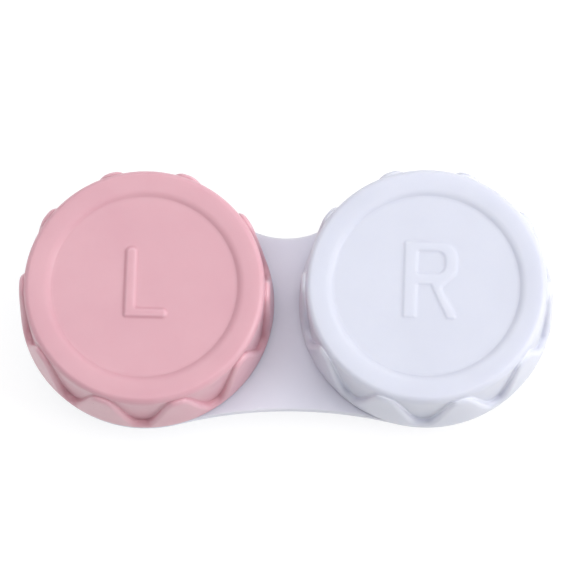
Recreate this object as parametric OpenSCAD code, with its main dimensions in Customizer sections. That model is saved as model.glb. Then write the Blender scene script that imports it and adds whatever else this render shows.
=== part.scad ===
// Twin-well contact lens case: one moulded base with a threaded well at each end, two lobed screw
// caps marked L and R, and a silicone sealing disc in each cap.
// Millimetres. The origin is on the table under the middle of the case, +X runs from the left well
// to the right well, +Y to the deep side of the waist and +Z up. The caps are shown screwed tight.

/* [Case] */
// Distance between the axes of the two wells
well_pitch = 34; // [33:0.5:38]
// Height from the table to the rim of a closed cap
case_h = 15; // [14.6:0.1:16]

/* [Wells] */
// Outer radius of a well's wall, which is the root of its thread
well_r = 12.2; // [12:0.1:12.3]
// Thickness of a well's wall
well_wall = 1.3; // [1:0.1:1.6]
// Thickness of a well's floor
floor_t = 1.2; // [1:0.1:1.6]
// Radius of the rounded corner between a well's floor and wall
bowl_round = 4; // [2:0.5:5]
// Outer radius of the foot that a well stands on
foot_r = 11; // [10:0.1:11.8]
// Number of low ribs on a well's floor, which keep a lens from clinging to it
floor_ribs = 6; // [3:1:8]

/* [Plate] */
// Height of the plate's top face above the table
plate_top = 5.8; // [5.2:0.1:6]
// Thickness of the plate that joins the wells
plate_t = 0.9; // [0.7:0.1:1.4]
// Radius of the plate round each well
plate_r = 15.3; // [14.8:0.1:15.4]
// Distance from the centre line to the deep side of the waist
waist_back = 8.5; // [6:0.1:12]
// Distance from the centre line to the shallow side of the waist
waist_front = 13.2; // [12.5:0.1:14]

/* [Caps] */
// Outer radius of a cap at its lower edge
cap_r = 15.5; // [15.4:0.1:16]
// Radius of a cap's plain wall, behind its grip lobes
cap_core_r = 14.55; // [14.4:0.05:14.7]
// Radius of a cap's bore, which is the root of its inner thread
cap_bore_r = 13.2; // [13.2:0.1:13.4]
// Gap between a closed cap and the plate
cap_gap = 0.3; // [0.2:0.1:0.5]
// Thickness of a cap's top
cap_top_t = 1.45; // [1.1:0.05:1.6]
// Depth of the round recess in a cap's top
recess_d = 0.33; // [0.2:0.01:0.45]
// Radius of the recess's floor
recess_r = 11.25; // [10.5:0.05:11.5]
// Turn of the closed caps from square, seen from above
cap_turn = -1.8; // [-18:0.2:18]

/* [Grip] */
// Number of grip lobes round a cap
lobes = 10; // [8:1:12]
// Height of the plain band under the lobes
band_h = 0.85; // [0.6:0.05:2]
// Distance from a cap's rim down to the crests of its lobes
lobe_drop = 0.8; // [0.8:0.1:2]

/* [Letters] */
// Height that the letters stand up from the recess
letter_h = 0.3; // [0.15:0.05:0.5]
// Size of the letters, as a share of their normal size
letter_size = 1; // [0.6:0.1:1.3]

/* [Threads] */
// Rise of the thread in one turn
lead = 4; // [4:0.1:4.5]
// Depth of a thread ridge
ridge_d = 0.75; // [0.6:0.05:0.8]
// Width of a ridge at its root
ridge_w = 1; // [0.8:0.05:1.1]
// Part of a turn that each ridge runs round, in degrees
ridge_sweep = 300; // [200:10:330]

/* [Seals] */
// Radius of a sealing disc
seal_r = 12.8; // [12.6:0.1:12.9]
// Thickness of a sealing disc
seal_t = 0.8; // [0.5:0.1:1.2]

/* [Hidden] */

half_pitch = well_pitch / 2;
well_in_r = well_r - well_wall;
cap_bottom = plate_top + cap_gap;
recess_z = case_h - recess_d;
ceiling_z = recess_z - cap_top_t;
// a sealing disc has this much play above and below it
seal_play = 0.03;
seal_z = ceiling_z - seal_play - seal_t;
well_top = seal_z - seal_play;

// the foot is a ring round a shallow dish, and its outer edge is rounded
dish_r = 8;
dish_d = 0.4;
foot_round = 1.6;
lip_round = 0.4;

rib_in = 2;
rib_out = 6.4;
rib_w = 0.6;
rib_h = 0.4;
sunk = 0.3;

// the thread is double: two ridges, half a turn apart
starts = 2;
ridge_crest_w = 0.5;
run_out = 24;
ridge_step = 10;
ridge_low = cap_bottom + 1.7;
cap_ridge_low = ridge_low - lead / starts / 2;

// the recess's floor meets the rim's inner edge in a crease, where the edge slopes most
rim_round = 0.75;
crease_slope = 34;
recess_round = recess_d / (1 - cos(crease_slope));
rim_in_r = recess_r + recess_round * sin(crease_slope);

// A lobe's top edge is a wave. Half a wave is 180 degrees from crest to valley: the crest and the
// valley end at these two angles, and the soft shares round the corners there.
crest_end = 40;
valley_end = 154;
crest_soft = 0.16;
valley_soft = 0.09;
crest_over = 0.05;
wave_steps = 18;
lobe_pitch = 360 / lobes;
lobe_top = case_h - lobe_drop;
lobe_top_r = cap_r - 0.35;
lobe_overlap = 0.6;
lobe_edge = 0.4;
notch_in = 10;
notch_out = cap_r + 2;

// corners of the letters' outlines from a cap's centre, each with the radius that rounds it
l_corners = [
    [-2.35, -3.85, 0.3], [2.85, -3.85, 0.55], [2.85, -2.75, 0.5], [-1, -2.75, 0.3], [-1, 4.85, 0.6],
    [-2.35, 4.85, 0.6]
];
r_corners = [
    [-2.8, -4.1, 0.35], [-1.15, -4.1, 0.35], [-1.15, 0.07, 0.25], [0.5, 0.07, 0.25], [2.5, -4.1, 0.35],
    [3.9, -4.1, 0.35], [1.7, -0.3, 0.4], [3.65, 1.55, 1.3], [3.65, 5.45, 2], [-2.8, 5.45, 0.3]
];
r_hole_corners = [[-1.15, 1.5, 0.25], [2.15, 1.5, 1], [2.15, 4.25, 1], [-1.15, 4.25, 0.25]];

pink = [0.9, 0.7, 0.75];
white = [0.93, 0.94, 0.97];
clear_white = [0.86, 0.87, 0.9];
silicone = [0.88, 0.92, 0.93];

// points of an arc from angle a0 to a1, in steps of about five degrees
function arc(x, y, r, a0, a1) = let (n = max(2, ceil(abs(a1 - a0) / 5)))
    [for (i = [0:n]) let (a = a0 + (a1 - a0) * i / n) [x + r * cos(a), y + r * sin(a)]];

// the same arc without its two end points
function inner_arc(x, y, r, a0, a1) = let (p = arc(x, y, r, a0, a1))
    [for (i = [1:len(p) - 2]) p[i]];

// radius of the waist's arc that touches both end circles and passes the centre line at w
function waist_r(w) = (half_pitch ^ 2 + w ^ 2 - plate_r ^ 2) / (2 * (plate_r - w));

// angle on the right end circle at which that arc touches it
function waist_angle(w) = atan2(w + waist_r(w), -half_pitch);

function plate_outline() =
    let (back = waist_angle(waist_back), front = -waist_angle(waist_front))
    concat(
        arc(half_pitch, 0, plate_r, front, back),
        inner_arc(0, waist_back + waist_r(waist_back), waist_r(waist_back), back - 180, -back),
        arc(-half_pitch, 0, plate_r, 180 - back, 180 - front),
        inner_arc(0, -waist_front - waist_r(waist_front), waist_r(waist_front), -front, 180 + front)
    );

function unit(v) = v / norm(v);

// the closed outline through corners [x, y, radius], each rounded to its radius
function rounded(corners) = [
    for (k = [0:len(corners) - 1])
        let (here = [corners[k].x, corners[k].y], radius = corners[k].z)
        let (last = corners[(k + len(corners) - 1) % len(corners)], next = corners[(k + 1) % len(corners)])
        let (to_last = unit([last.x, last.y] - here), to_next = unit([next.x, next.y] - here))
        let (half = acos(to_last * to_next) / 2)
        let (centre = here + unit(to_last + to_next) * radius / sin(half))
        let (arm = here + to_last * radius / tan(half) - centre)
        let (bend = (180 - 2 * half) * sign(to_next.x * to_last.y - to_next.y * to_last.x))
        let (steps = ceil(abs(bend) / 15))
        for (i = [0:steps])
            let (a = bend * i / steps)
            centre + [arm.x * cos(a) - arm.y * sin(a), arm.x * sin(a) + arm.y * cos(a)]
];

// a ramp with soft ends: flat on the crest, steep on the flank and flat in the valley
function swell(c) = let (share = (c - cos(valley_end)) / (cos(crest_end) - cos(valley_end)))
    norm([share, valley_soft]) - norm([share - 1, crest_soft]);

// height of a lobe's top edge at angle a from its crest
function wave(a) = cap_bottom + band_h + (lobe_top + crest_over - cap_bottom - band_h)
    * (swell(cos(a * lobes)) - swell(-1)) / (swell(1) - swell(-1));

module each_well() {
    for (x = [-half_pitch, half_pitch]) translate([x, 0, 0]) children();
}

// One helical ridge, standing out of a wall of radius root_r to radius crest_r and fading into the
// wall at both ends. It rises to the left as seen from outside, which makes a right-hand thread.
module ridge(root_r, crest_r, low, start) {
    side = sign(crest_r - root_r);
    steps = ceil(ridge_sweep / ridge_step);
    points = [
        for (i = [0:steps])
            let (turn = ridge_sweep * i / steps)
            let (fade = min(1, min(turn, ridge_sweep - turn) / run_out))
            let (tip_r = root_r + (crest_r - root_r) * fade - side * 0.1 * (1 - fade))
            let (buried_r = root_r - side * sunk)
            for (p = [
                [buried_r, -side * ridge_w / 2],
                [tip_r, -side * ridge_crest_w / 2],
                [tip_r, side * ridge_crest_w / 2],
                [buried_r, side * ridge_w / 2]
            ])
                [p.x * cos(start + turn), p.x * sin(start + turn), low + lead * turn / 360 + p.y]
    ];
    sides = [
        for (i = [0:steps - 1], j = [0:3])
            [4 * i + j, 4 * i + (j + 1) % 4, 4 * (i + 1) + (j + 1) % 4, 4 * (i + 1) + j]
    ];
    ends = [[3, 2, 1, 0], [for (j = [0:3]) 4 * steps + j]];
    polyhedron(points, concat(sides, ends), convexity = 6);
}

module thread(root_r, crest_r, low) {
    for (k = [0:starts - 1]) ridge(root_r, crest_r, low, 360 * k / starts);
}

module well_outside() {
    rotate_extrude() polygon(concat(
        [[0, dish_d], [dish_r, dish_d], [dish_r + dish_d, 0]],
        arc(foot_r - foot_round, foot_round, foot_round, -90, 0),
        [[well_r, plate_top - plate_t / 2]],
        arc(well_r - lip_round, well_top - lip_round, lip_round, 0, 90),
        [[0, well_top]]
    ));
}

module well_inside() {
    rotate_extrude() polygon(concat(
        [[0, floor_t]],
        arc(well_in_r - bowl_round, floor_t + bowl_round, bowl_round, -90, 0),
        [[well_in_r, well_top + 1], [0, well_top + 1]]
    ));
}

module floor_rib() {
    translate([rib_in, -rib_w / 2, floor_t - sunk]) cube([rib_out - rib_in, rib_w, rib_h + sunk]);
}

module base() {
    color(clear_white) {
        difference() {
            union() {
                translate([0, 0, plate_top - plate_t]) linear_extrude(plate_t) polygon(plate_outline());
                each_well() well_outside();
            }
            each_well() well_inside();
        }
        each_well() for (i = [0:floor_ribs - 1]) rotate([0, 0, 360 * (i + 0.5) / floor_ribs]) floor_rib();
        each_well() thread(well_r, well_r + ridge_d, ridge_low);
    }
}

// the cap without its lobes: a plain wall, a recessed top and a rounded rim
module cap_core() {
    rotate_extrude() polygon(concat(
        [
            [cap_bore_r, cap_bottom],
            [cap_core_r + 0.1, cap_bottom]
        ],
        arc(cap_core_r - rim_round, case_h - rim_round, rim_round, 0, 90),
        arc(rim_in_r, case_h - recess_round, recess_round, 90, 90 + crease_slope),
        [
            [0, recess_z],
            [0, ceiling_z],
            [cap_bore_r, ceiling_z]
        ]
    ));
}

// what is cut away between two lobes, pointing along +X and starting well inside the plain wall
module notch() {
    half_w = cap_r * sin(lobe_pitch / 2);
    edge = [
        for (i = [0:wave_steps])
            let (a = lobe_pitch * (i / wave_steps - 0.5))
            [cap_r * sin(a), wave(a + lobe_pitch / 2)]
    ];
    rotate([90, 0, 90]) translate([0, 0, notch_in])
        linear_extrude(notch_out - notch_in) polygon(concat(edge, [[half_w, case_h], [-half_w, case_h]]));
}

module lobed_skirt() {
    difference() {
        rotate_extrude() polygon([
            [cap_core_r - lobe_overlap, cap_bottom],
            [cap_r - lobe_edge, cap_bottom],
            [cap_r, cap_bottom + lobe_edge],
            [lobe_top_r, lobe_top - lobe_edge],
            [lobe_top_r - lobe_edge, lobe_top],
            [cap_core_r - lobe_overlap, lobe_top]
        ]);
        for (i = [0:lobes - 1]) rotate([0, 0, lobe_pitch * i - 90]) notch();
    }
}

module letter_l() {
    polygon(rounded(l_corners));
}

module letter_r() {
    difference() {
        polygon(rounded(r_corners));
        polygon(rounded(r_hole_corners));
    }
}

module cap() {
    rotate([0, 0, cap_turn]) {
        cap_core();
        lobed_skirt();
        translate([0, 0, recess_z - sunk]) linear_extrude(letter_h + sunk) scale(letter_size) children();
    }
    thread(cap_bore_r, cap_bore_r - ridge_d, cap_ridge_low);
}

module cap_left() {
    color(pink) translate([-half_pitch, 0, 0]) cap() letter_l();
}

module cap_right() {
    color(white) translate([half_pitch, 0, 0]) cap() letter_r();
}

module seal(x) {
    color(silicone) translate([x, 0, seal_z]) cylinder(h = seal_t, r = seal_r, $fn = 96);
}

module seal_left() {
    seal(-half_pitch);
}

module seal_right() {
    seal(half_pitch);
}

base();
cap_left();
cap_right();
seal_left();
seal_right();
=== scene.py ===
"""Looks of a twin-well contact lens case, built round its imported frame.

Two lobed screw caps, one pink and marked L and one white and marked R, close two threaded wells in a
waisted base, and each cap holds a silicone sealing disc. Lengths are in millimetres until a mesh is
finished. Caps and discs are made round the origin and then moved onto the axes of their wells.
"""

import math

import bmesh
import bpy
from mathutils import Matrix, Vector


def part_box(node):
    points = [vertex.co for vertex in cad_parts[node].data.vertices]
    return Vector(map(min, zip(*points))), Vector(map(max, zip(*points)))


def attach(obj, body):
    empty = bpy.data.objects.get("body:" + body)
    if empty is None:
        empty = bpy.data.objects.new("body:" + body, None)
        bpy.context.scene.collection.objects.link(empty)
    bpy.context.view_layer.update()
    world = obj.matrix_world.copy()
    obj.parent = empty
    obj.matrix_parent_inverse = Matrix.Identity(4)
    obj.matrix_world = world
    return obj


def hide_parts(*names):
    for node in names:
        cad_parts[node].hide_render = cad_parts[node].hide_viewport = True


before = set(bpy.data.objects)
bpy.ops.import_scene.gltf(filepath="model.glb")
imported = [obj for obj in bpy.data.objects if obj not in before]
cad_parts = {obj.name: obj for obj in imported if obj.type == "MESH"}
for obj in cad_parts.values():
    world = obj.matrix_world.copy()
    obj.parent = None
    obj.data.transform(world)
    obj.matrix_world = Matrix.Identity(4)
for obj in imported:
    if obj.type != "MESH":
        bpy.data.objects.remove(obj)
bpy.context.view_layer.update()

MM = 0.001


def box_mm(node):
    """The low and high corners of a node's box, in millimetres."""
    low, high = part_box(node)
    return low / MM, high / MM


# ---------------------------------------------------------------- places, from the frame

BASE_LOW, BASE_HIGH = box_mm("base")
CAP_LOW, CAP_HIGH = box_mm("cap_left")
SEAL_LOW, SEAL_HIGH = box_mm("seal_left")
HALF_PITCH = -(SEAL_LOW.x + SEAL_HIGH.x) / 2
CAP_BOTTOM, CAP_TOP = CAP_LOW.z, CAP_HIGH.z
WELL_TOP = BASE_HIGH.z
SEAL_R = (SEAL_HIGH.x - SEAL_LOW.x) / 2
# the outermost surfaces keep this far inside the frame's box
INSIDE = 0.01
CAP_R = (CAP_HIGH.x - CAP_LOW.x) / 2 - INSIDE
PLATE_R = (BASE_HIGH.y - BASE_LOW.y) / 2 - INSIDE

# ---------------------------------------------------------------- sizes, in millimetres

# caps
CAP_TURN = math.radians(-1.8)
CORE_R = 14.55
BORE_R = 13.2
RECESS_R = 11.25
RECESS_D = 0.33
RECESS_SLOPE = 34
RECESS_ROUND = RECESS_D / (1 - math.cos(math.radians(RECESS_SLOPE)))
RECESS_Z = CAP_TOP - RECESS_D - 0.03
CEILING_Z = RECESS_Z - 1.43
CEILING_ROUND = 0.5
RIM_ROUND = 0.75
RIM_CROWN = 0.025
LOWER_ROUND = 0.3
LOBES = 10
BAND_H = 0.85
LOBE_DROP = 0.8
LOBE_TOP_R = CAP_R - 0.35
LOBE_ROUND = 0.6
LOBE_CREASE = 0.16
CREST_END = 40
VALLEY_END = 154
CREST_SOFT = 0.16
VALLEY_SOFT = 0.09
L_HEIGHT = 0.28
R_HEIGHT = 0.16

# base
PLATE_TOP = 5.8
PLATE_T = 0.9
WAIST_BACK = 8.5
WAIST_FRONT = 13.2
PLATE_ROUND = 0.22
WELL_R = 12.2
WELL_IN_R = 10.9
FLOOR_Z = 1.2
BOWL_ROUND = 4.0
FOOT_R = 11.0
FOOT_ROUND = 1.6
DISH_R = 8.0
DISH_D = 0.4
FLOOR_RIBS = 6
# the fillets where a well leaves the plate, above and below, and the rounds on its lip
WELL_FILLET = 0.3
NECK_R = WELL_R - 0.1
NECK_FILLET = 0.4
LIP_OUT_ROUND = 0.4
LIP_IN_ROUND = 0.3

# sealing discs: a shallow hollow inside the ring that meets the well's lip
HOLLOW_D = 0.15

# threads
LEAD = 4.0
STARTS = 2
RIDGE_D = 0.75
RIDGE_W = 0.95
RIDGE_TIP = 0.45
RIDGE_SWEEP = 300
RIDGE_STEP = 4
RIDGE_RUN_OUT = 24
# how deep a ridge's root and its faded ends lie in the wall, and the bevel on its tip
RIDGE_SUNK = 0.3
RIDGE_END_SUNK = 0.08
TIP_BEVEL_D = 0.14
TIP_BEVEL_LOW = RIDGE_TIP / 2 + 0.08
TIP_BEVEL_HIGH = RIDGE_TIP / 2 - 0.1
RIDGE_LOW = CAP_BOTTOM + 1.7

# points round a cap, a whole number for each lobe, and round a well or a disc
AROUND = 36 * LOBES
WELL_AROUND = 144
# faces that meet at more than this angle, in degrees, keep a sharp edge between them
SHARP = 40


# ---------------------------------------------------------------- outlines and profiles

def arc(x, y, radius, start, end, steps):
    """Points of an arc, from the angle start to the angle end, in degrees."""
    angles = [math.radians(start + (end - start) * i / steps) for i in range(steps + 1)]
    return [(x + radius * math.cos(a), y + radius * math.sin(a)) for a in angles]


def rounded(corners, grow, step=9):
    """The closed outline through corners (x, y, radius), each rounded, after growing all sides."""
    outline = []
    for k, (x, y, radius) in enumerate(corners):
        here = Vector((x, y))
        to_last = (Vector(corners[k - 1][:2]) - here).normalized()
        to_next = (Vector(corners[(k + 1) % len(corners)][:2]) - here).normalized()
        half = to_last.angle(to_next) / 2
        side = 1 if to_next.cross(to_last) > 0 else -1
        inwards = (to_last + to_next).normalized()
        here -= inwards * side * grow / math.sin(half)
        radius = max(0.03, radius + side * grow)
        centre = here + inwards * radius / math.sin(half)
        arm = here + to_last * radius / math.tan(half) - centre
        bend = (math.pi - 2 * half) * side
        steps = math.ceil(abs(math.degrees(bend)) / step)
        for i in range(steps + 1):
            outline.append(centre + Matrix.Rotation(bend * i / steps, 2) @ arm)
    return outline


def offset(outline, distance):
    """The outline moved outwards by a distance, when it runs anticlockwise."""
    moved = []
    for k, point in enumerate(outline):
        before = (point - outline[k - 1]).normalized()
        after = (outline[(k + 1) % len(outline)] - point).normalized()
        mean = (before + after).normalized()
        normal = Vector((mean.y, -mean.x))
        moved.append(point + normal * distance / max(0.3, mean.dot(before)))
    return moved


def waist_radius(half_width):
    """Radius of the arc that touches both ends of the plate and leaves a waist that wide."""
    return (HALF_PITCH**2 + half_width**2 - PLATE_R**2) / (2 * (PLATE_R - half_width))


def plate_outline():
    """Two round ends joined by a deep waist at the back and a shallow one at the front."""
    back_r, front_r = waist_radius(WAIST_BACK), waist_radius(WAIST_FRONT)
    back = math.degrees(math.atan2(WAIST_BACK + back_r, -HALF_PITCH))
    front = -math.degrees(math.atan2(WAIST_FRONT + front_r, -HALF_PITCH))
    points = arc(HALF_PITCH, 0, PLATE_R, front, back, 100)
    points += arc(0, WAIST_BACK + back_r, back_r, back - 180, -back, 24)[1:-1]
    points += arc(-HALF_PITCH, 0, PLATE_R, 180 - back, 180 - front, 100)
    points += arc(0, -WAIST_FRONT - front_r, front_r, -front, 180 + front, 40)[1:-1]
    return [Vector(p) for p in points]


# corners (x, y, radius) of each outline from a cap's centre, the hole after the outside
LETTER_L = [
    [(-2.35, -3.85, 0.3), (2.85, -3.85, 0.55), (2.85, -2.75, 0.5),
     (-1.0, -2.75, 0.3), (-1.0, 4.85, 0.6), (-2.35, 4.85, 0.6)],
]
LETTER_R = [
    [(-2.8, -4.1, 0.35), (-1.15, -4.1, 0.35), (-1.15, 0.07, 0.25), (0.5, 0.07, 0.25),
     (2.5, -4.1, 0.35), (3.9, -4.1, 0.35), (1.7, -0.3, 0.4), (3.65, 1.55, 1.3),
     (3.65, 5.45, 2.0), (-2.8, 5.45, 0.3)],
    [(-1.15, 1.5, 0.25), (2.15, 1.5, 1.0), (2.15, 4.25, 1.0), (-1.15, 4.25, 0.25)],
]


# ---------------------------------------------------------------- mesh building

def ring(bm, radius, z, count, x=0.0, start=0.0):
    """A level circle of vertices round the axis at x, from the angle start."""
    turns = [2 * math.pi * i / count + start for i in range(count)]
    return [bm.verts.new((x + radius * math.cos(a), radius * math.sin(a), z)) for a in turns]


def loop_at(bm, outline, z):
    """Vertices along an outline, at one height."""
    return [bm.verts.new((p.x, p.y, z)) for p in outline]


def join(bm, rings):
    """Joins each closed ring of vertices to the next with quads."""
    for lower, upper in zip(rings, rings[1:]):
        for k in range(len(lower)):
            bm.faces.new((lower[k - 1], lower[k], upper[k], upper[k - 1]))


def cap_off(bm, loop, z):
    """Closes a ring with a fan round its middle."""
    middle = bm.verts.new(sum((v.co for v in loop), Vector()) / len(loop))
    middle.co.z = z
    for k in range(len(loop)):
        bm.faces.new((loop[k - 1], loop[k], middle))


def fill(bm, loops):
    """Fills the flat space between an outer loop and the loops inside it."""
    edges = []
    for loop in loops:
        edges += [bm.edges.get((loop[k - 1], loop[k])) or bm.edges.new((loop[k - 1], loop[k]))
                  for k in range(len(loop))]
    bmesh.ops.triangle_fill(bm, use_beauty=True, edges=edges, normal=(0, 0, 1))


def turned(bm, profile, count, x=0.0):
    """Rings of a turned surface along a profile of (radius, height)."""
    rings = [ring(bm, radius, z, count, x) for radius, z in profile]
    join(bm, rings)
    return rings


def bends(bm):
    """How sharply the surface bends at each vertex, per millimetre: above 0 on edges, below in creases."""
    values = []
    for v in bm.verts:
        area = sum(face.calc_area() / len(face.verts) for face in v.link_faces)
        turn = sum(e.calc_length() * e.calc_face_angle_signed(0) for e in v.link_edges)
        values.append(turn / (4 * area) if area else 0)
    return values


def new_piece(name, bm, material, body, nodes):
    """Makes the mesh an object in metres that rides on its body and stands for its CAD nodes."""
    bmesh.ops.recalc_face_normals(bm, faces=bm.faces)
    bent = bends(bm)
    mesh = bpy.data.meshes.new(name)
    bm.to_mesh(mesh)
    # the bend attribute is the mask for the plastics' painted edge highlight and painted crease shading
    mesh.attributes.new("bend", "FLOAT", "POINT").data.foreach_set("value", bent)
    bm.free()
    mesh.transform(Matrix.Scale(MM, 4))
    mesh.shade_smooth()
    mesh.set_sharp_from_angle(angle=math.radians(SHARP))
    mesh.materials.append(material)
    piece = bpy.data.objects.new(name, mesh)
    bpy.context.scene.collection.objects.link(piece)
    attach(piece, body)
    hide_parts(*nodes)


def ridge_section(root_r, tip_r, fade):
    """Outline (radius, height) of a ridge that has grown to the share fade of its depth."""
    side = math.copysign(1, tip_r - root_r)
    crest = root_r + (tip_r - root_r) * fade - side * RIDGE_END_SUNK * (1 - fade)
    shoulder = crest - side * TIP_BEVEL_D * fade
    buried = root_r - side * RIDGE_SUNK
    return [
        (buried, -RIDGE_W / 2), (shoulder, -TIP_BEVEL_LOW), (crest, -TIP_BEVEL_HIGH),
        (crest, TIP_BEVEL_HIGH), (shoulder, TIP_BEVEL_LOW), (buried, RIDGE_W / 2),
    ]


def sweep_ridge(bm, root_r, tip_r, low, start, x):
    """One helical ridge of a thread, standing out of a wall and fading into it at both ends."""
    steps = RIDGE_SWEEP // RIDGE_STEP
    rings = []
    for i in range(steps + 1):
        turn = RIDGE_SWEEP * i / steps
        fade = min(1, min(turn, RIDGE_SWEEP - turn) / RIDGE_RUN_OUT)
        fade = fade * fade * (3 - 2 * fade)
        a = math.radians(start + turn)
        height = low + LEAD * turn / 360
        rings.append([
            bm.verts.new((x + r * math.cos(a), r * math.sin(a), height + z))
            for r, z in ridge_section(root_r, tip_r, fade)
        ])
    join(bm, rings)
    for end in (rings[0], rings[-1]):
        bm.faces.new(end)


def thread(bm, root_r, tip_r, low, x=0.0):
    """The ridges of a thread, evenly spaced round the axis at x."""
    for k in range(STARTS):
        sweep_ridge(bm, root_r, tip_r, low, 360 * k / STARTS, x)


# ---------------------------------------------------------------- caps

def swell(cosine):
    """A ramp with soft ends: flat on the crest, steep on the flank and flat in the valley."""
    crest, valley = math.cos(math.radians(CREST_END)), math.cos(math.radians(VALLEY_END))
    share = (cosine - valley) / (crest - valley)
    return math.hypot(share, VALLEY_SOFT) - math.hypot(share - 1, CREST_SOFT)


def wave(angle):
    """Height of a lobe's top edge, at an angle from its crest."""
    share = (swell(math.cos(angle * LOBES)) - swell(-1)) / (swell(1) - swell(-1))
    low, high = CAP_BOTTOM + BAND_H, CAP_TOP - LOBE_DROP
    return low + (high - low) * share


def skirt_radius(z):
    """Outer radius of the lobes, which lean in a little towards the top."""
    return CAP_R + (LOBE_TOP_R - CAP_R) * (z - CAP_BOTTOM) / (CAP_TOP - LOBE_DROP - CAP_BOTTOM)


def edge_point(k, away):
    """Angle and height of a point beside the lobes' edge, away from it up the plain wall."""
    crest = math.radians(180 / LOBES - 90)
    turn = 2 * math.pi * k / AROUND
    small = 1e-4
    slope = (wave(turn - crest + small) - wave(turn - crest - small)) / (2 * small * CAP_R)
    length = math.hypot(1, slope)
    return turn - away * slope / length / CAP_R, wave(turn - crest) + away / length


def even_turns():
    """Evenly spaced angles round a cap, one for each point of a ring."""
    return [2 * math.pi * k / AROUND for k in range(AROUND)]


def lower_rows():
    """The round under the cap's lower edge."""
    profile = arc(CAP_R - LOWER_ROUND, CAP_BOTTOM + LOWER_ROUND, LOWER_ROUND, -90, 0, 5)
    return [[(turn, radius, z) for turn in even_turns()] for radius, z in profile]


def face_row(share):
    """The lobes' outer faces, at a share of the way up to the round of their top edge."""
    foot = CAP_BOTTOM + LOWER_ROUND
    row = []
    for k, flat in enumerate(even_turns()):
        turn, z = edge_point(k, -LOBE_ROUND)
        height = foot + (z - foot) * share
        row.append((flat + (turn - flat) * share, skirt_radius(height), height))
    return row


def round_row(degrees):
    """The rounded top edge of the lobes, at an angle round it."""
    a = math.radians(degrees)
    row = []
    for k in range(AROUND):
        turn, z = edge_point(k, -LOBE_ROUND * (1 - math.sin(a)))
        outer = skirt_radius(z)
        depth = min(LOBE_ROUND, outer - CORE_R - LOBE_CREASE)
        row.append((turn, outer - depth * (1 - math.cos(a)), z))
    return row


def crease_row(degrees):
    """The fillet where the lobes meet the plain wall, at an angle round it."""
    a = math.radians(degrees)
    row = []
    for k in range(AROUND):
        turn, z = edge_point(k, LOBE_CREASE * (1 - math.cos(a)))
        row.append((turn, CORE_R + LOBE_CREASE * (1 - math.sin(a)), z))
    return row


def wall_row(share):
    """The plain wall, at a share of the way from the lobes up to the rim's round."""
    rim_foot = CAP_TOP - RIM_ROUND + 0.12
    row = []
    for k, flat in enumerate(even_turns()):
        turn, z = edge_point(k, LOBE_CREASE)
        row.append((turn + (flat - turn) * share, CORE_R, z + (rim_foot - z) * share))
    return row


def skirt_rings(bm):
    """The cap's outside from its lower edge up over the lobes to the foot of the rim's round."""
    rows = lower_rows()
    rows += [face_row(i / 9) for i in range(1, 10)]
    rows += [round_row(90 * i / 7) for i in range(1, 8)]
    rows += [crease_row(90 * i / 4) for i in range(5)]
    rows += [wall_row(i / 6) for i in range(1, 7)]
    return [
        [bm.verts.new((r * math.cos(a + CAP_TURN), r * math.sin(a + CAP_TURN), z)) for a, r, z in row]
        for row in rows
    ]


def cap_inside(bm):
    """The bore and the ceiling, ending at the cap's lower edge."""
    profile = arc(BORE_R - CEILING_ROUND, CEILING_Z - CEILING_ROUND, CEILING_ROUND, 90, 0, 4)
    profile += [(BORE_R, CAP_BOTTOM + 0.35), (BORE_R + 0.1, CAP_BOTTOM + 0.1)]
    profile += [(BORE_R + 0.3, CAP_BOTTOM)]
    rings = turned(bm, profile, AROUND)
    cap_off(bm, rings[0], CEILING_Z)
    return rings[-1]


def cap_rim(bm):
    """The rounded rim, the recess's slope and the ring round its floor."""
    flat_z = CAP_TOP - RIM_CROWN - INSIDE / 2
    outer = arc(CORE_R - RIM_ROUND, flat_z - RIM_ROUND, RIM_ROUND, 15, 87, 8)
    inner_r = RECESS_R + RECESS_ROUND * math.sin(math.radians(RECESS_SLOPE))
    inner = arc(inner_r, flat_z - RECESS_ROUND, RECESS_ROUND, 92, 90 + RECESS_SLOPE, 9)
    (start, _), (end, _) = outer[-1], inner[0]
    profile = outer
    for i in range(1, 6):
        share = i / 6
        rise = RIM_CROWN * 4 * share * (1 - share)
        profile.append((start + (end - start) * share, flat_z + rise))
    profile += inner[:-1] + [(RECESS_R + 0.015, RECESS_Z + 0.02), (RECESS_R - 0.03, RECESS_Z)]
    profile += [(RECESS_R - 0.4, RECESS_Z)]
    return [ring(bm, radius, z, AROUND, start=CAP_TURN) for radius, z in profile]


def raised_letter(bm, outlines, height):
    """The letter's rounded sides and top. Returns its loops on the recess's floor."""
    spin = Matrix.Rotation(CAP_TURN, 2)
    feet, tops = [], []
    for number, corners in enumerate(outlines):
        out = 1 if number == 0 else -1
        steps = [(0.42, 0), (0.26, 0), (0.14, 0.06), (0.05, 0.22), (-0.03, 0.45)]
        steps += [(-0.11, 0.68), (-0.2, 0.85), (-0.3, 0.95), (-0.42, 1)]
        loops = [
            loop_at(bm, [spin @ p for p in rounded(corners, out * away)], RECESS_Z + up * height)
            for away, up in steps
        ]
        join(bm, loops)
        feet.append(loops[0])
        tops.append(loops[-1])
    fill(bm, tops)
    return feet


def cap(name, node, outlines, height, material, x):
    """One cap in one skin: bore, lobed skirt, rim, recess and letter, and the thread in its bore."""
    bm = bmesh.new()
    lower_edge = cap_inside(bm)
    skirt = skirt_rings(bm)
    rim = cap_rim(bm)
    join(bm, [lower_edge, *skirt, *rim])
    feet = raised_letter(bm, outlines, height)
    fill(bm, [rim[-1], *feet])
    thread(bm, BORE_R, BORE_R - RIDGE_D, RIDGE_LOW - LEAD / STARTS / 2)
    bmesh.ops.translate(bm, verts=bm.verts, vec=(x, 0, 0))
    new_piece(name, bm, material, node, [node])


# ---------------------------------------------------------------- base and seals

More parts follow.
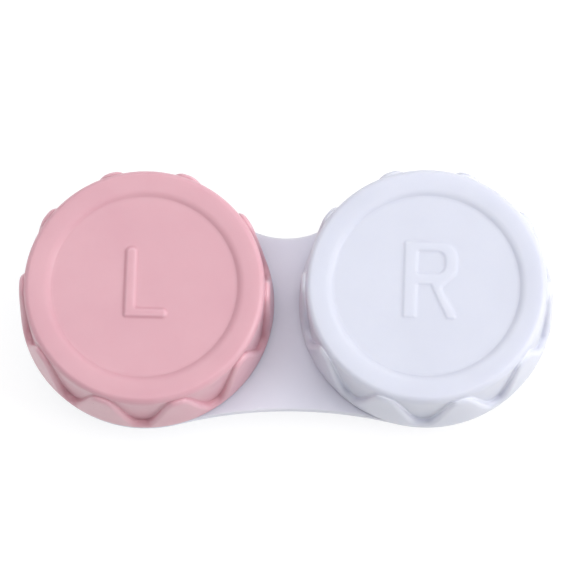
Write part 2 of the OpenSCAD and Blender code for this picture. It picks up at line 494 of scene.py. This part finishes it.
def plate_edge():
    """The plate's edge as (inset, height), from its top face round to its underside."""
    top, low = PLATE_TOP - PLATE_ROUND, PLATE_TOP - PLATE_T + PLATE_ROUND
    edge = [(0.5, PLATE_TOP)]
    edge += [(-r, z) for r, z in arc(-PLATE_ROUND, top, PLATE_ROUND, 90, 0, 4)]
    edge += [(-r, z) for r, z in arc(-PLATE_ROUND, low, PLATE_ROUND, 0, -90, 4)]
    edge += [(0.5, PLATE_TOP - PLATE_T)]
    return edge


def well_profile():
    """A well from the plate's top face over its lip and down to its floor."""
    lip_out, lip_in = WELL_TOP - LIP_OUT_ROUND, WELL_TOP - LIP_IN_ROUND
    bowl_r, bowl_z = WELL_IN_R - BOWL_ROUND, FLOOR_Z + BOWL_ROUND
    profile = [(WELL_R + 0.6, PLATE_TOP)]
    profile += arc(WELL_R + WELL_FILLET, PLATE_TOP + WELL_FILLET, WELL_FILLET, 270, 180, 4)
    profile += [(WELL_R, lip_out)]
    profile += arc(WELL_R - LIP_OUT_ROUND, lip_out, LIP_OUT_ROUND, 0, 90, 5)[1:]
    profile += arc(WELL_IN_R + LIP_IN_ROUND, lip_in, LIP_IN_ROUND, 90, 180, 4)
    profile += [(WELL_IN_R, bowl_z)]
    profile += arc(bowl_r, bowl_z, BOWL_ROUND, 0, -90, 12)[1:]
    profile += [(bowl_r - 0.3, FLOOR_Z), (3, FLOOR_Z)]
    return profile


def foot_profile():
    """The outside of a well from the plate's underside down to the foot and its shallow dish."""
    plate_low = PLATE_TOP - PLATE_T
    profile = [(NECK_R + 0.8, plate_low)]
    for a in (0, 22, 45, 68, 90):
        bend = math.radians(90 + a)
        radius = NECK_R + NECK_FILLET + NECK_FILLET * math.cos(bend)
        profile.append((radius, plate_low - NECK_FILLET + NECK_FILLET * math.sin(bend)))
    profile += arc(FOOT_R - FOOT_ROUND, FOOT_ROUND, FOOT_ROUND, 0, -90, 8)
    profile += [(DISH_R + DISH_D + 0.1, 0), (DISH_R + DISH_D - 0.05, 0.03)]
    profile += [(DISH_R, DISH_D - 0.03), (DISH_R - 0.15, DISH_D), (2, DISH_D)]
    return profile


def base(material):
    """One moulding: the waisted plate, the two wells and their threads."""
    bm = bmesh.new()
    outline = plate_outline()
    rows = [loop_at(bm, offset(outline, -inset), z) for inset, z in plate_edge()]
    join(bm, rows)
    top_holes, low_holes = [], []
    for x in (-HALF_PITCH, HALF_PITCH):
        rings = turned(bm, well_profile(), WELL_AROUND, x)
        cap_off(bm, rings[-1], FLOOR_Z)
        top_holes.append(rings[0])
        rings = turned(bm, foot_profile(), WELL_AROUND, x)
        cap_off(bm, rings[-1], DISH_D)
        low_holes.append(rings[0])
    fill(bm, [rows[0], *top_holes])
    fill(bm, [rows[-1], *low_holes])
    for x in (-HALF_PITCH, HALF_PITCH):
        thread(bm, WELL_R, WELL_R + RIDGE_D, RIDGE_LOW, x)
        for k in range(FLOOR_RIBS):
            floor_rib(bm, x, 2 * math.pi * (k + 0.5) / FLOOR_RIBS)
    new_piece("base_moulding", bm, material, "base", ["base"])


def floor_rib(bm, x, turn):
    """A low bar with round ends and a rounded back on a well's floor."""
    corners = [(2, -0.3, 0.28), (6.4, -0.3, 0.28), (6.4, 0.3, 0.28), (2, 0.3, 0.28)]
    spin = Matrix.Rotation(turn, 2)
    loops = [
        loop_at(bm, [spin @ p + Vector((x, 0)) for p in rounded(corners, away, 22)], FLOOR_Z + up)
        for away, up in ((0.05, -0.2), (0.03, 0.1), (-0.02, 0.25), (-0.1, 0.36), (-0.2, 0.4))
    ]
    join(bm, loops)
    fill(bm, [loops[0]])
    fill(bm, [loops[-1]])


def seal(name, node, material, x):
    """A soft disc with a round edge and a shallow hollow inside the ring that meets the well's lip."""
    low, high = SEAL_LOW.z, SEAL_HIGH.z
    round_r = (high - low) / 2 - 0.05
    edge_r = SEAL_R - round_r - INSIDE
    hollow_z = low + HOLLOW_D
    profile = [(2, high), (SEAL_R - round_r - 0.3, high)]
    profile += arc(edge_r, high - round_r, round_r, 90, 0, 5)
    profile += arc(edge_r, low + round_r, round_r, 0, -90, 5)
    profile += [(WELL_IN_R - 0.2, low), (WELL_IN_R - 0.5, low + 0.04)]
    profile += [(WELL_IN_R - 0.8, hollow_z), (2, hollow_z)]
    bm = bmesh.new()
    rings = turned(bm, profile, WELL_AROUND)
    cap_off(bm, rings[0], high)
    cap_off(bm, rings[-1], hollow_z)
    bmesh.ops.translate(bm, verts=bm.verts, vec=(x, 0, 0))
    new_piece(name, bm, material, node, [node])


# ---------------------------------------------------------------- materials

class Nodes:
    """Short ways to add and link the nodes of one material."""

    def __init__(self, name):
        self.material = bpy.data.materials.new(name)
        self.material.use_nodes = True
        self.tree = self.material.node_tree
        self.shader = self.tree.nodes["Principled BSDF"]
        self.place = self.add("ShaderNodeTexCoord").outputs["Object"]

    def add(self, kind, **settings):
        """A new node of a kind, with its own settings."""
        node = self.tree.nodes.new(kind)
        for key, value in settings.items():
            setattr(node, key, value)
        return node

    def link(self, output, socket):
        self.tree.links.new(output, socket)

    def noise(self, size_mm, detail=2.0, roughness=0.5, stretch=None):
        """Noise whose features are about size_mm across."""
        node = self.add("ShaderNodeTexNoise")
        node.inputs["Scale"].default_value = 1 / (size_mm * MM)
        node.inputs["Detail"].default_value = detail
        node.inputs["Roughness"].default_value = roughness
        place = self.place
        if stretch:
            mapping = self.add("ShaderNodeMapping")
            mapping.inputs["Scale"].default_value = stretch
            self.link(place, mapping.inputs["Vector"])
            place = mapping.outputs["Vector"]
        self.link(place, node.inputs["Vector"])
        return node.outputs["Fac"]

    def between(self, value, low, high, start=0.3, end=0.7):
        """Spreads a value from start to end over the numbers low to high."""
        node = self.add("ShaderNodeMapRange")
        node.inputs["From Min"].default_value = start
        node.inputs["From Max"].default_value = end
        node.inputs["To Min"].default_value = low
        node.inputs["To Max"].default_value = high
        self.link(value, node.inputs["Value"])
        return node.outputs["Result"]

    def blend_colours(self, share, first, second):
        """Goes from the first colour to the second as the share goes from 0 to 1."""
        node = self.add("ShaderNodeMix", data_type="RGBA")
        self.link(share, node.inputs["Factor"])
        for socket, colour in ((node.inputs["A"], first), (node.inputs["B"], second)):
            if isinstance(colour, tuple):
                socket.default_value = (*colour, 1)
            else:
                self.link(colour, socket)
        return node.outputs["Result"]

    def sum_of(self, first, second, weight):
        """The first value plus the second one times the weight."""
        node = self.add("ShaderNodeMath", operation="MULTIPLY_ADD")
        self.link(second, node.inputs[0])
        node.inputs[1].default_value = weight
        self.link(first, node.inputs[2])
        return node.outputs["Value"]

    def bump(self, height, distance_mm, strength):
        """Roughens the shader's surface by a height."""
        node = self.add("ShaderNodeBump")
        node.inputs["Distance"].default_value = distance_mm * MM
        node.inputs["Strength"].default_value = strength
        self.link(height, node.inputs["Height"])
        self.link(node.outputs["Normal"], self.shader.inputs["Normal"])


def moulded_plastic(name, colour, shade, edge, crease_painted_shading, roughness, scatter, reach_mm):
    """Satin polypropylene: cloudy colour, a fine moulded grain, a painted highlight along convex edges and
    painted shading in creases.
    """
    n = Nodes(name)
    clouds = n.between(n.noise(9, 3), 0, 1)
    body = n.blend_colours(clouds, colour, shade)
    flecks = n.between(n.noise(0.6, 4, 0.6), 0, 0.22, 0.42, 0.75)
    body = n.blend_colours(flecks, body, shade)
    bend = n.add("ShaderNodeAttribute", attribute_name="bend").outputs["Fac"]
    # painted highlight: the colour turns lighter along convex edges, where the bend is high, whatever the
    # light
    body = n.blend_colours(n.between(bend, 0, 0.35, 0.3, 1.3), body, edge)
    # painted shading in creases, where the surface bends inwards: darker on the pink and base plastics,
    # lighter on the white one as painted fill light
    body = n.blend_colours(n.between(bend, 0.5, 0, -3, -0.5), body, crease_painted_shading)
    n.link(body, n.shader.inputs["Base Color"])
    handled = n.between(n.noise(4, 5, 0.65), roughness - 0.05, roughness + 0.07)
    scratches = n.between(n.noise(0.5, 2, 0.5, (1, 14, 1)), 0, 1, 0.62, 0.8)
    n.link(n.sum_of(handled, scratches, -0.06), n.shader.inputs["Roughness"])
    grain = n.noise(0.16, 3, 0.6)
    ripple = n.noise(5, 1)
    n.bump(n.sum_of(grain, ripple, 2.5), 0.012, 0.5)
    n.shader.inputs["IOR"].default_value = 1.49
    n.shader.inputs["Specular IOR Level"].default_value = 0.4
    n.shader.inputs["Subsurface Weight"].default_value = scatter
    n.shader.inputs["Subsurface Radius"].default_value = (1.0, 0.95, 0.95)
    n.shader.inputs["Subsurface Scale"].default_value = reach_mm * MM
    return n.material


def soft_silicone(name):
    """Milky silicone with a faint haze of dust in its surface."""
    n = Nodes(name)
    clouds = n.between(n.noise(5, 2), 0, 1)
    body = n.blend_colours(clouds, (0.72, 0.78, 0.8), (0.66, 0.73, 0.76))
    n.link(body, n.shader.inputs["Base Color"])
    n.link(n.between(n.noise(1.2, 4), 0.42, 0.6), n.shader.inputs["Roughness"])
    n.bump(n.noise(0.25, 3), 0.01, 0.4)
    n.shader.inputs["IOR"].default_value = 1.42
    n.shader.inputs["Subsurface Weight"].default_value = 0.35
    n.shader.inputs["Subsurface Radius"].default_value = (1.0, 0.95, 0.95)
    n.shader.inputs["Subsurface Scale"].default_value = 1.5 * MM
    return n.material


# ---------------------------------------------------------------- stage

def floor():
    """A plain pale floor that glows a little, so that it shows white as in a light tent."""
    bm = bmesh.new()
    bmesh.ops.create_grid(bm, x_segments=2, y_segments=2, size=1.5)
    mesh = bpy.data.meshes.new("floor")
    bm.to_mesh(mesh)
    bm.free()
    n = Nodes("floor")
    pale = n.blend_colours(n.noise(200, 1), (0.34, 0.34, 0.34), (0.36, 0.36, 0.36))
    n.link(pale, n.shader.inputs["Base Color"])
    n.shader.inputs["Roughness"].default_value = 0.9
    n.shader.inputs["Specular IOR Level"].default_value = 0.0
    n.shader.inputs["Emission Color"].default_value = (1, 1, 1, 1)
    n.shader.inputs["Emission Strength"].default_value = 0.72
    mesh.materials.append(n.material)
    plane = bpy.data.objects.new("floor", mesh)
    bpy.context.scene.collection.objects.link(plane)


def direction(azimuth, elevation):
    """From the case towards a viewer who looks along +Y at azimuth 0."""
    a, e = math.radians(azimuth), math.radians(elevation)
    return Vector((math.sin(a) * math.cos(e), -math.cos(a) * math.cos(e), math.sin(e)))


def softbox(name, azimuth, elevation, distance, size, watts):
    """A square light that looks at the middle of the case."""
    lamp = bpy.data.lights.new(name, "AREA")
    lamp.shape = "SQUARE"
    lamp.size = size
    lamp.energy = watts
    light = bpy.data.objects.new(name, lamp)
    away = direction(azimuth, elevation)
    light.location = away * distance
    light.rotation_euler = away.to_track_quat("Z", "Y").to_euler()
    bpy.context.scene.collection.objects.link(light)


def studio():
    """Soft light from all round, from the right and from above."""
    world = bpy.data.worlds.new("studio")
    world.use_nodes = True
    background = world.node_tree.nodes["Background"]
    background.inputs["Color"].default_value = (0.95, 0.97, 1.0, 1)
    background.inputs["Strength"].default_value = 0.22
    bpy.context.scene.world = world
    softbox("key", 86, 31, 0.9, 0.6, 5.1)
    softbox("top", 170, 72, 1.0, 1.2, 8.0)
    softbox("fill", -50, 66, 1.0, 1.0, 1.5)
    bpy.context.scene.view_settings.view_transform = "Standard"
    bpy.context.scene.view_settings.look = "None"


def camera():
    """Looks down steeply from just right of the front, rolled so that the case lies level."""
    azimuth, elevation, roll = 4.0, 74.5, math.radians(4.05)
    distance = 614 * MM
    aim_right, aim_up = 0.17 * MM, 2.01 * MM
    back = direction(azimuth, elevation)
    level = Vector((math.cos(math.radians(azimuth)), math.sin(math.radians(azimuth)), 0))
    upright = back.cross(level)
    right = level * math.cos(roll) - upright * math.sin(roll)
    up = level * math.sin(roll) + upright * math.cos(roll)
    lens = bpy.data.cameras.new("camera")
    lens.sensor_width = 36
    lens.lens = 314.6
    lens.clip_end = 10
    aim = Vector((0, 0, CAP_BOTTOM * MM)) + right * aim_right + up * aim_up
    place = aim + back * distance
    eye = bpy.data.objects.new("camera", lens)
    eye.matrix_world = Matrix((
        (right.x, up.x, back.x, place.x),
        (right.y, up.y, back.y, place.y),
        (right.z, up.z, back.z, place.z),
        (0, 0, 0, 1),
    ))
    bpy.context.scene.collection.objects.link(eye)
    bpy.context.scene.camera = eye


# ---------------------------------------------------------------- the case

# Each plastic's edge colour is a painted highlight along convex edges, and its crease colour is painted
# shading in creases: darker than the body on the pink and base plastics, lighter on the white one as
# painted fill light.
PINK = moulded_plastic(
    "pink_plastic", colour=(0.7, 0.4, 0.455), shade=(0.665, 0.365, 0.425),
    edge=(0.79, 0.51, 0.575), crease_painted_shading=(0.64, 0.32, 0.38), roughness=0.33, scatter=0.5, reach_mm=1.2,
)
WHITE = moulded_plastic(
    "white_plastic", colour=(0.695, 0.71, 0.8), shade=(0.665, 0.68, 0.77),
    edge=(0.71, 0.72, 0.81), crease_painted_shading=(0.88, 0.89, 0.96), roughness=0.36, scatter=0.9, reach_mm=1.2,
)
NATURAL = moulded_plastic(
    "base_plastic", colour=(0.7, 0.7, 0.78), shade=(0.66, 0.665, 0.75),
    edge=(0.78, 0.79, 0.84), crease_painted_shading=(0.55, 0.56, 0.62), roughness=0.34, scatter=0.3, reach_mm=1.2,
)
SILICONE = soft_silicone("silicone")

base(NATURAL)
cap("pink_cap_L", "cap_left", LETTER_L, L_HEIGHT, PINK, -HALF_PITCH)
cap("white_cap_R", "cap_right", LETTER_R, R_HEIGHT, WHITE, HALF_PITCH)
seal("left_sealing_disc", "seal_left", SILICONE, -HALF_PITCH)
seal("right_sealing_disc", "seal_right", SILICONE, HALF_PITCH)

camera()
studio()
floor()

bpy.context.view_layer.update()
